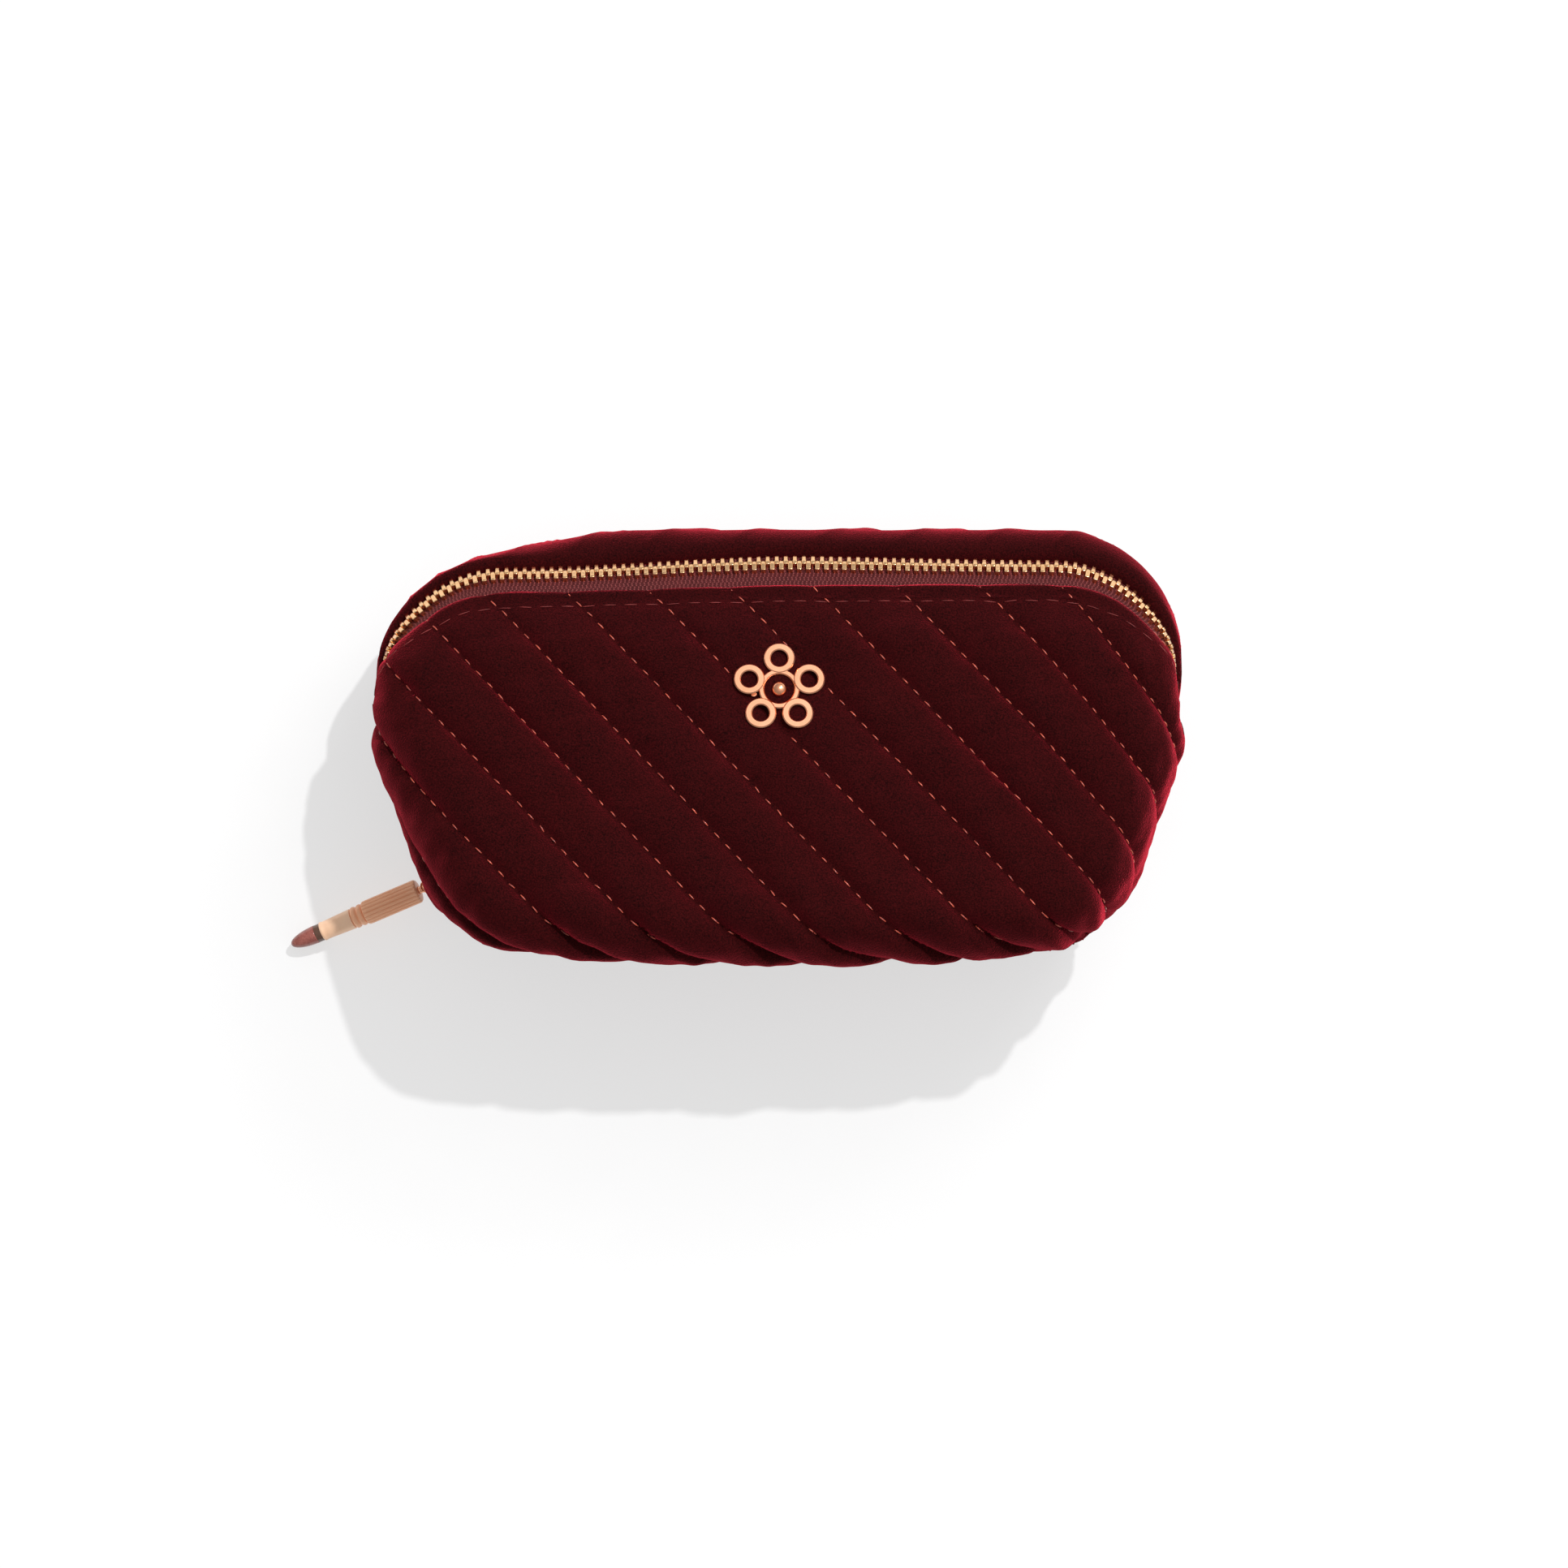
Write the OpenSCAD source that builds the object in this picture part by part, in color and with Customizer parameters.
// Quilted makeup bag lying on its back panel, with a curved zip and a brush charm.
// +X runs across the width, +Y from the base to the zip, +Z out through the front panel.

/* [Bag] */
// Greatest width of the bag
bag_w = 206; // [170:1:240]
// Width across the two base corners
base_w = 178; // [150:1:200]
// Distance from the base to the top edge
bag_h = 109.5; // [95:1:130]
// Depth at the base, from the back panel to the front panel
base_d = 81; // [70:1:95]
// Depth that the front panel's plane would have at the top edge
top_d = 50; // [46:1:60]
// Thickness of the quilted wall
wall = 5.5; // [4:0.1:7]
// Radius of the top corners in plan
top_r = 32; // [22:1:40]
// Radius of the base corners in plan
base_r = 21; // [12:1:26]
// How far the back half sits inside the front half at the sides
back_in = 3; // [1:0.5:4]

/* [Seam and zip] */
// Height of the seam between front and back halves, at the base
seam_z = 36; // [30:1:42]
// Rise of the seam for each millimetre towards the top edge
seam_rise = 0.1; // [0:0.01:0.15]
// Distance from the base to the fold line that joins the zip's two ends
fold_y = 20; // [16:1:30]
// Greatest opening angle of the mouth that the fold leaves room for
mouth_angle = 30; // [15:1:32]
// Half width of the gap that shows the zip
zip_gap = 5.2; // [4.8:0.1:7]
// Width of each zip tape
tape_w = 9; // [7:0.5:12]
// Thickness of the tape
tape_t = 0.6; // [0.4:0.1:0.9]
// Thickness of the row of teeth
chain_t = 1.3; // [1:0.1:1.5]
// Half width of the closed row of teeth
chain_w = 2.9; // [2.4:0.1:3.2]
// Half width of the slit between the two rows of teeth
slit = 0.55; // [0.45:0.05:0.8]
// Thickness of the lining
lining_t = 0.6; // [0.4:0.1:1]

/* [Slider and pull] */
// Length of the slider
slider_l = 10.5; // [8:0.5:12]
// Width of the slider
slider_w = 8.6; // [7:0.1:9]
// Thickness of the slider's plates
plate_t = 1.2; // [0.9:0.1:1.4]
// Drop of the pull link between its two eyes
link_l = 19; // [16:1:21]
// Wire radius of the jump ring
ring_wire = 0.6; // [0.4:0.05:0.8]

/* [Brush charm] */
// Length of the charm from its eye to the tip of the bristles
charm_l = 40; // [36:1:46]
// Radius of the ribbed handle
handle_r = 3.2; // [2.6:0.1:3.6]
// Length of the collar of beads
collar_l = 3.4; // [2.5:0.1:5]
// Length of the ferrule
ferrule_l = 8.9; // [7:0.1:11]
// Length of the bristle tip
tip_l = 8.9; // [7:0.1:11]

/* [Emblem] */
// Outer radius of the blossom emblem
emblem_r = 12; // [9:0.5:13]
// Thickness of the emblem
emblem_t = 1.4; // [1:0.1:2]
// Distance from the base to the emblem's middle
emblem_y = 68.7; // [62:0.1:70]

/* [Hidden] */
ring_fn = 20;
round_fn = 32;
thin = 0.02;
big = 400;
clear = 0.15;
mid_r = 30;
widest_y = 60;
half_h = 55;

// The three circles that each side of the outline is wrapped around: x, y, radius.
outline = [
    [bag_w / 2 - 1 - top_r, bag_h - top_r, top_r],
    [bag_w / 2 - mid_r, widest_y, mid_r],
    [base_w / 2 - base_r, base_r, base_r]];

// Angle of the straight stretch of each side, and its distance from the origin.
side_dx = outline[1][0] - outline[2][0];
side_dy = outline[1][1] - outline[2][1];
side_angle = atan2(side_dx, side_dy) + asin((mid_r - base_r) / norm([side_dx, side_dy]));
side_h = outline[1][0] * cos(side_angle) - outline[1][1] * sin(side_angle) + mid_r;
function side_x(y, inset) = (side_h - inset + y * sin(side_angle)) / cos(side_angle);
function seam_at(y) = seam_z + seam_rise * y;
seam_tilt = atan(seam_rise);
front_tilt = atan((base_d - top_d) / bag_h);
function front_at(y) = base_d - (base_d - top_d) * y / bag_h;

// Depths below the bag's surface of each layer.
chain_in = wall - chain_t;
tape_in = wall + 0.12;
lining_in = tape_in + tape_t + 0.2;
fold_half = mouth_angle / 2 + 1;
zip_end_y = fold_y + 3;

// The slider runs along the straight stretch of the left side.
slider_y = zip_end_y + 4;
track_rise = atan(seam_rise * cos(side_angle));
plate_in = back_in + chain_in - 0.95;
inner_in = back_in + tape_in + tape_t + 1.3;
bail_in = plate_in - plate_t - 1.9;
// The link hangs off the middle of the bail's bar by this much, measured along the bar.
eye_shift = -1.18;
bail_at = [
    -side_x(slider_y, 0) + bail_in * cos(side_angle) - eye_shift * sin(side_angle) * cos(track_rise),
    slider_y + bail_in * sin(side_angle) + eye_shift * cos(side_angle) * cos(track_rise),
    seam_at(slider_y) + eye_shift * sin(track_rise)];

// The charm lies on the surface: its tip, its eye and the two eyes of the link.
tip_end = [-bag_w / 2 - 22.8, 4.1, 3.4];
charm_turn = 203.3;
charm_dip = 12.5;
charm_dir = [cos(charm_turn) * cos(charm_dip), sin(charm_turn) * cos(charm_dip), -sin(charm_dip)];
charm_eye = tip_end - charm_l * charm_dir;
link_low = bail_at + [-2.2, 1.7, -link_l];
ring_mid = (charm_eye + link_low) / 2;
ring_turn = link_low - charm_eye;
ring_slope = atan2(ring_turn[2], ring_turn[1]);
ring_axis = [1, 0, 0] - ring_turn * (ring_turn[0] / (ring_turn * ring_turn));

// One rounded outline of the bag at a height that may rise or fall towards the top edge.
module level(inset, z_base, z_top, top_cut) {
    slope = (z_top - z_base) / bag_h;
    for (side = [-1, 1], k = [0:2]) {
        r = max(2, outline[k][2] - inset);
        shift = max(0, inset - outline[k][2] + 2);
        y_side = k == 0 ? -1 : (k == 2 ? 1 : 0);
        y = outline[k][1] + y_side * shift - (k == 0 ? top_cut : 0);
        translate([side * (outline[k][0] - shift), y, z_base + slope * y])
            rotate([atan(slope), 0, 0]) cylinder(r = r, h = thin, $fn = ring_fn);
    }
}

// The whole bag's volume, drawn in by a depth below its surface.
module bag(depth) {
    hull() {
        level(20 + depth * 0.6, depth, depth, 0);
        level(12 + depth, 9, 9, 0);
        level(6 + depth, 20, 20, 0);
        level(back_in + 1 + depth, 31, 31, -back_in);
        level(back_in + depth, seam_z + 3, seam_z + 8, 3.5);
        level(depth, base_d - 17, top_d, 12);
        level(8 + depth, base_d - 2.5 - depth, top_d - 2.5 - depth, 8);
        level(28 + depth * 0.6, base_d - depth, top_d - depth, 0);
    }
}

module layer(outer, inner) {
    difference() { bag(outer); bag(inner); }
}

// Everything further than a distance above (or, with under, below) the seam plane.
module beyond_seam(distance, under = false) {
    translate([0, 0, seam_z]) rotate([seam_tilt, 0, 0])
        translate([-big / 2, -big / 2, under ? -big - distance : distance]) cube(big);
}

// The half of space past a plane through the fold line, leaning by an angle.
module past_fold(lean, gap) {
    translate([0, fold_y, seam_at(fold_y)]) rotate([-lean, 0, 0])
        translate([-big / 2, gap, -big / 2]) cube(big);
}

module before_fold(lean, gap) {
    translate([0, fold_y, seam_at(fold_y)]) rotate([lean, 0, 0])
        translate([-big / 2, -big - gap, -big / 2]) cube(big);
}

// A band on both sides of the seam plane, past the zip's ends.
module zip_zone(half, y_from) {
    intersection() {
        translate([0, 0, seam_z]) rotate([seam_tilt, 0, 0])
            translate([-big / 2, -big / 2, -half]) cube([big, big, 2 * half]);
        translate([-big / 2, y_from, -big / 2]) cube(big);
    }
}

module in_place() {
    translate([0, -half_h, 0]) children();
}

module back_shell() {
    color([0.30, 0.04, 0.07]) in_place() difference() {
        layer(0, wall);
        beyond_seam(-clear / 2);
        zip_zone(zip_gap, fold_y);
    }
}

module front_layer(outer, inner, gap) {
    difference() {
        intersection() {
            layer(outer, inner);
            beyond_seam(gap);
            past_fold(fold_half, clear);
        }
        zip_zone(zip_gap, fold_y);
    }
}

module front_shell_upper() {
    color([0.36, 0.04, 0.08]) in_place() difference() {
        front_layer(0, wall, clear);
        post_holes();
    }
}

module front_fold() {
    color([0.34, 0.04, 0.08]) in_place() difference() {
        intersection() {
            layer(0, wall);
            beyond_seam(clear / 2);
        }
        past_fold(fold_half - 0.5, 0);
        before_fold(fold_half - 0.5, 0);
        zip_zone(zip_gap, fold_y);
    }
}

module front_shell_lower() {
    color([0.36, 0.04, 0.08]) in_place() intersection() {
        layer(0, wall);
        beyond_seam(clear / 2);
        before_fold(fold_half, clear);
    }
}

module lining_back() {
    color([0.22, 0.05, 0.07]) in_place() difference() {
        layer(lining_in, lining_in + lining_t);
        beyond_seam(-clear);
        zip_zone(zip_gap + 0.6, fold_y - 2);
    }
}

module lining_front() {
    color([0.22, 0.05, 0.07]) in_place() difference() {
        intersection() {
            layer(lining_in, lining_in + lining_t);
            beyond_seam(zip_gap + 0.6);
            past_fold(fold_half + 1, clear);
        }
        post_holes();
    }
}

module lining_lower() {
    color([0.22, 0.05, 0.07]) in_place() intersection() {
        layer(lining_in, lining_in + lining_t);
        beyond_seam(clear);
        before_fold(fold_half + 1, clear);
    }
}

// One half of the zip, between two distances from the seam plane.
module zip_half(outer, inner, near, far, under) {
    intersection() {
        difference() {
            layer(outer, inner);
            beyond_seam(far, under);
        }
        beyond_seam(near, under);
        translate([-big / 2, zip_end_y, -big / 2]) cube(big);
    }
}

module zip_tape_back() {
    color([0.43, 0.14, 0.17]) in_place() zip_half(tape_in, tape_in + tape_t, slit, tape_w, true);
}

module zip_tape_front() {
    color([0.43, 0.14, 0.17]) in_place() zip_half(tape_in, tape_in + tape_t, slit, tape_w, false);
}

module zip_chain_back() {
    color([0.88, 0.67, 0.40]) in_place() zip_half(chain_in, wall, slit, chain_w, true);
}

module zip_chain_front() {
    color([0.88, 0.67, 0.40]) in_place() zip_half(chain_in, wall, slit, chain_w, false);
}

// A stop clamped across the zip's end.
module zip_stop(side) {
    stop_y = zip_end_y - 1.5;
    translate([side * side_x(stop_y, back_in + wall), stop_y, seam_at(stop_y)])
        rotate([0, 0, -side * side_angle]) rotate([track_rise, 0, 0])
            translate([-1.1, -0.8, -chain_w]) cube([2.2, 1.6, 2 * chain_w]);
}

module zip_stop_left() {
    color([0.88, 0.67, 0.40]) in_place() difference() {
        zip_stop(-1);
        zip_zone(1.6, 0);
    }
}

module zip_stop_right() {
    color([0.88, 0.67, 0.40]) in_place() zip_stop(1);
}

// The strip that binds the seam allowance inside, below the zip.
module seam_binding(low_x, high_x) {
    binding_w = 5;
    intersection() {
        layer(tape_in, tape_in + tape_t);
        difference() {
            zip_zone(binding_w, -10);
            translate([-big / 2, fold_y - 4, -big / 2]) cube(big);
        }
        translate([low_x, -big / 2, -big / 2]) cube([high_x - low_x, big, big]);
    }
}

corner_x = outline[2][0];
module seam_binding_left() {
    color([0.20, 0.04, 0.06]) in_place() seam_binding(-big / 2, -corner_x - clear);
}

module seam_binding_right() {
    color([0.20, 0.04, 0.06]) in_place() seam_binding(corner_x + clear, big / 2);
}

module seam_binding_base() {
    color([0.20, 0.04, 0.06]) in_place() seam_binding(-corner_x, corner_x);
}

// Places what is mounted on the front panel's plane, at the emblem's middle.
module on_front() {
    translate([0, emblem_y, front_at(emblem_y)]) rotate([-front_tilt, 0, 0]) children();
}

post_x = 6.5;
post_r = 0.8;
module post_holes() {
    on_front() for (side = [-1, 1])
        translate([side * post_x, 0, -wall * 3]) cylinder(r = post_r + clear, h = wall * 4, $fn = round_fn);
}

// Five open petals round a small boss.
module emblem() {
    petal_r = emblem_r * 0.34;
    strip = 1.1;
    color([0.85, 0.55, 0.42]) in_place() on_front() translate([0, 0, 0.1]) union() {
        for (k = [0:4]) rotate([0, 0, 90 + 72 * k]) translate([emblem_r - petal_r, 0, 0])
            difference() {
                cylinder(r = petal_r, h = emblem_t, $fn = round_fn);
                translate([0, 0, -1]) cylinder(r = petal_r - strip, h = emblem_t + 2, $fn = round_fn);
            }
        difference() {
            cylinder(r = emblem_r * 0.42, h = emblem_t, $fn = round_fn);
            translate([0, 0, -1]) cylinder(r = emblem_r * 0.42 - strip, h = emblem_t + 2, $fn = round_fn);
        }
        cylinder(r = emblem_r * 0.14, h = emblem_t + 0.5, $fn = round_fn);
        for (side = [-1, 1]) translate([side * post_x, 0, 0]) cylinder(r = 1.4, h = emblem_t - 0.4, $fn = round_fn);
        translate([-post_x, -0.5, 0]) cube([2 * post_x, 1, emblem_t - 0.4]);
    }
}

module emblem_posts() {
    color([0.75, 0.75, 0.75]) in_place() on_front() for (side = [-1, 1])
        translate([side * post_x, 0, -lining_in - lining_t - 1.2])
            cylinder(r = post_r, h = lining_in + lining_t + 1.3, $fn = round_fn);
}

module emblem_washer() {
    color([0.75, 0.75, 0.75]) in_place() on_front()
        translate([0, 0, -lining_in - lining_t - 0.9]) difference() {
            translate([-post_x - 3, -3, 0]) cube([2 * post_x + 6, 6, 0.6]);
            for (side = [-1, 1]) translate([side * post_x, 0, -1])
                cylinder(r = post_r + clear, h = 3, $fn = round_fn);
        }
}

module inner_label() {
    label_w = 30;
    label_h = 12;
    color([0.62, 0.45, 0.38]) in_place() translate([-label_w / 2, 58, lining_in + lining_t + 0.1])
        cube([label_w, label_h, 0.5]);
}

// The slider's own frame: x inwards from the outline, y along the track, z across the tape.
module on_track() {
    translate([-side_x(slider_y, 0), slider_y, seam_at(slider_y)])
        rotate([0, 0, side_angle]) rotate([track_rise, 0, 0]) children();
}

module slider_body() {
    blade = slit - 0.2;
    blade_z = seam_rise * sin(side_angle) * (plate_in + inner_in) / 2 - blade;
    flange_w = 0.9;
    color([0.80, 0.52, 0.38]) in_place() on_track() union() {
        translate([plate_in - plate_t, -slider_l / 2, -slider_w / 2]) cube([plate_t, slider_l, slider_w]);
        translate([inner_in, -slider_l / 2, -slider_w / 2 + 0.6]) cube([1, slider_l, slider_w - 1.2]);
        translate([plate_in - plate_t, -slider_l / 2, blade_z])
            cube([inner_in - plate_in + plate_t + 1, 2.2, 2 * blade]);
        for (side = [-1, 1]) translate([plate_in - 0.1, -slider_l / 2, side * (slider_w - flange_w) / 2 - flange_w / 2])
            cube([chain_t - 0.4, slider_l, flange_w]);
    }
}

bail_r = 0.6;
bail_l = 7;
module slider_bail() {
    top_in = plate_in - plate_t;
    color([0.80, 0.52, 0.38]) in_place() on_track() union() {
        translate([bail_in, -bail_l / 2, 0]) rotate([-90, 0, 0]) cylinder(r = bail_r, h = bail_l, $fn = round_fn);
        for (side = [-1, 1]) translate([bail_in - bail_r, side * (bail_l / 2 - 0.5) - 0.6, -bail_r])
            cube([top_in - bail_in + bail_r, 1.2, 2 * bail_r]);
    }
}

// A ring of round wire about its own z axis.
module wire_ring(r, wire) {
    rotate_extrude($fn = round_fn) translate([r, 0]) circle(r = wire, $fn = 16);
}

module turn_to(dir) {
    rotate([0, acos(dir[2] / norm(dir)), atan2(dir[1], dir[0])]) children();
}

eye_wire = 0.45;
eye_r = bail_r + eye_wire + 0.25;
low_eye_wire = 0.5;
low_eye_r = ring_wire + low_eye_wire + 0.8;
module pull_link() {
    top = bail_at + [0, 0, -eye_r];
    low = link_low + [0, low_eye_r * cos(ring_slope), low_eye_r * sin(ring_slope)];
    color([0.85, 0.55, 0.42]) in_place() union() {
        translate(bail_at) rotate([0, 0, side_angle]) rotate([track_rise + 90, 0, 0]) wire_ring(eye_r, eye_wire);
        translate(top) turn_to(low - top) cylinder(r = 0.5, h = norm(low - top), $fn = round_fn);
        translate(link_low) rotate([ring_slope, 0, 0]) wire_ring(low_eye_r, low_eye_wire);
    }
}

module jump_ring() {
    color([0.85, 0.55, 0.42]) in_place() translate(ring_mid) turn_to(ring_axis)
        rotate_extrude($fn = 48) translate([norm(ring_turn) / 2, 0]) circle(r = ring_wire, $fn = 16);
}

// The charm's own frame: z runs from the eye to the tip.
module on_charm(from) {
    translate(charm_eye + from * charm_dir) turn_to(charm_dir) children();
}

loop_l = 3;
handle_l = charm_l - loop_l - collar_l - ferrule_l - tip_l;
module charm_loop() {
    color([0.95, 0.66, 0.45]) in_place() union() {
        translate(charm_eye) rotate([ring_slope, 0, 0]) wire_ring(low_eye_r, low_eye_wire);
        on_charm(low_eye_r) cylinder(r = 0.9, h = loop_l - low_eye_r - clear / 3, $fn = round_fn);
    }
}

module charm_handle() {
    ribs = 14;
    color([0.95, 0.66, 0.45]) in_place() on_charm(loop_l) union() {
        cylinder(r = handle_r - 0.35, h = handle_l, $fn = round_fn);
        translate([0, 0, 0.6]) for (k = [0:ribs - 1]) rotate([0, 0, 360 / ribs * k])
            translate([handle_r - 0.55, 0, 0]) cylinder(r = 0.55, h = handle_l - 1.2, $fn = 16);
    }
}

module charm_collar() {
    bead = collar_l / 4;
    color([0.95, 0.66, 0.45]) in_place() on_charm(loop_l + handle_l) union() {
        cylinder(r = handle_r - 0.9, h = collar_l, $fn = round_fn);
        for (k = [1, 3]) translate([0, 0, bead * k])
            rotate_extrude($fn = round_fn) translate([handle_r - 1, 0]) circle(r = bead * 0.9, $fn = 16);
    }
}

module charm_ferrule() {
    color([0.98, 0.80, 0.62]) in_place() on_charm(loop_l + handle_l + collar_l)
        cylinder(r1 = handle_r - 0.55, r2 = handle_r - 0.8, h = ferrule_l, $fn = round_fn);
}

module charm_tip() {
    wide = handle_r - 0.85;
    color([0.62, 0.33, 0.28]) in_place() on_charm(loop_l + handle_l + collar_l + ferrule_l)
        rotate_extrude($fn = round_fn) polygon([[0, 0], [wide, 0], [wide, tip_l * 0.45],
            [wide * 0.85, tip_l * 0.72], [wide * 0.5, tip_l * 0.93], [0, tip_l]]);
}

back_shell();
front_shell_upper();
front_fold();
front_shell_lower();
lining_back();
lining_front();
lining_lower();
zip_tape_back();
zip_tape_front();
zip_chain_back();
zip_chain_front();
zip_stop_left();
zip_stop_right();
seam_binding_left();
seam_binding_right();
seam_binding_base();
emblem();
emblem_posts();
emblem_washer();
inner_label();
slider_body();
slider_bail();
pull_link();
jump_ring();
charm_loop();
charm_handle();
charm_collar();
charm_ferrule();
charm_tip();
